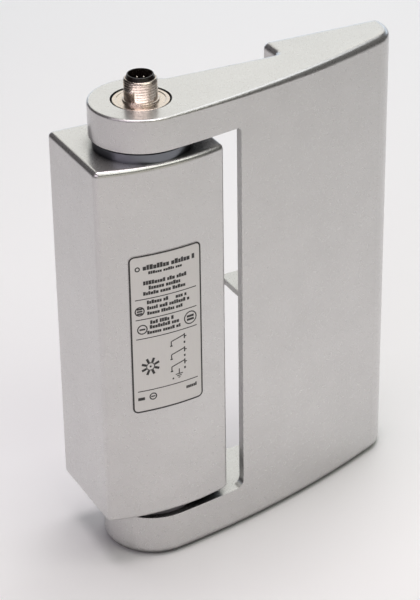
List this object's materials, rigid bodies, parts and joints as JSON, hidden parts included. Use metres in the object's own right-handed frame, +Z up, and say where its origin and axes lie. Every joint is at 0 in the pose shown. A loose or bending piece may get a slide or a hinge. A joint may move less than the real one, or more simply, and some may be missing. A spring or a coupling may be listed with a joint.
{
  "type": "safety hinge switch",
  "caption": "Safety hinge switch: die-cast housing with round plug connector, between the arms of a hollow pivoting bracket that lifts a contact plunger.",
  "frame": {"origin": "on the hinge axis, at the underside of the bracket's lower arm", "axes": "+Z up along the hinge axis to the connector, +X from the hinge axis to the bracket's free end, +Y to the rear mounting faces"},
  "size_m": [0.1363, 0.0443, 0.1904],
  "materials": {
    "cast_metal": "satin silver-grey coating on a die casting",
    "cover_metal": "satin plate",
    "nickel": "nickel plated, turned",
    "steel": "zinc plated",
    "brass": "gold flashed",
    "black_plastic": "moulded, fine grain",
    "grey_plastic": "moulded",
    "collar_metal": "turned and coated",
    "rubber": "smooth",
    "label_film": "satin printed film",
    "wire_jacket": "smooth"
  },
  "bodies": {
    "housing": {"housing_shell": "cast_metal", "rear_cover": "cover_metal", "rear_gasket": "rubber", "rear_cover_screws": "steel", "rating_label": "label_film", "upper_thrust_collar": "collar_metal", "upper_pivot_sleeve": "nickel", "sleeve_flange_screws": "steel", "connector_shell": "nickel", "connector_seal_ring": "rubber", "connector_insert": "black_plastic", "connector_pins": "brass", "connector_locknut": "nickel", "lower_pin_bush": "black_plastic", "lower_seal_ring": "rubber", "contact_block_case": "grey_plastic", "contact_block_cover": "grey_plastic", "contact_block_screws": "steel", "fixed_contacts": "brass", "terminal_screws": "steel", "internal_wires": "wire_jacket", "earth_terminal_screw": "steel", "upper_seal_ring": "rubber", "return_spring": "steel"},
    "bracket": {"bracket_casting": "cast_metal", "upper_arm_bush": "black_plastic", "lower_pivot_pin": "steel", "pin_grub_screw": "steel", "lower_thrust_collar": "grey_plastic", "switching_cam": "steel", "cam_grub_screw": "steel", "wing_mount_inserts": "steel"},
    "plunger": {"plunger_rod": "grey_plastic", "contact_bridges": "brass"}
  },
  "joints": [
    {"name": "bracket_hinge", "type": "hinge", "parent": "housing", "child": "bracket", "pos_m": [0, 0, 0], "axis": [0, 0, -1], "range_deg": [0, 180]},
    {"name": "plunger_slide", "type": "slide", "parent": "housing", "child": "plunger", "axis": [0, 0, 1], "range_m": [0, 0.003], "deforming": ["return_spring"]}
  ],
  "couplings": [
    {"joint": "plunger_slide", "follows": "bracket_hinge", "m_per_rad": 0.0009549}
  ]
}
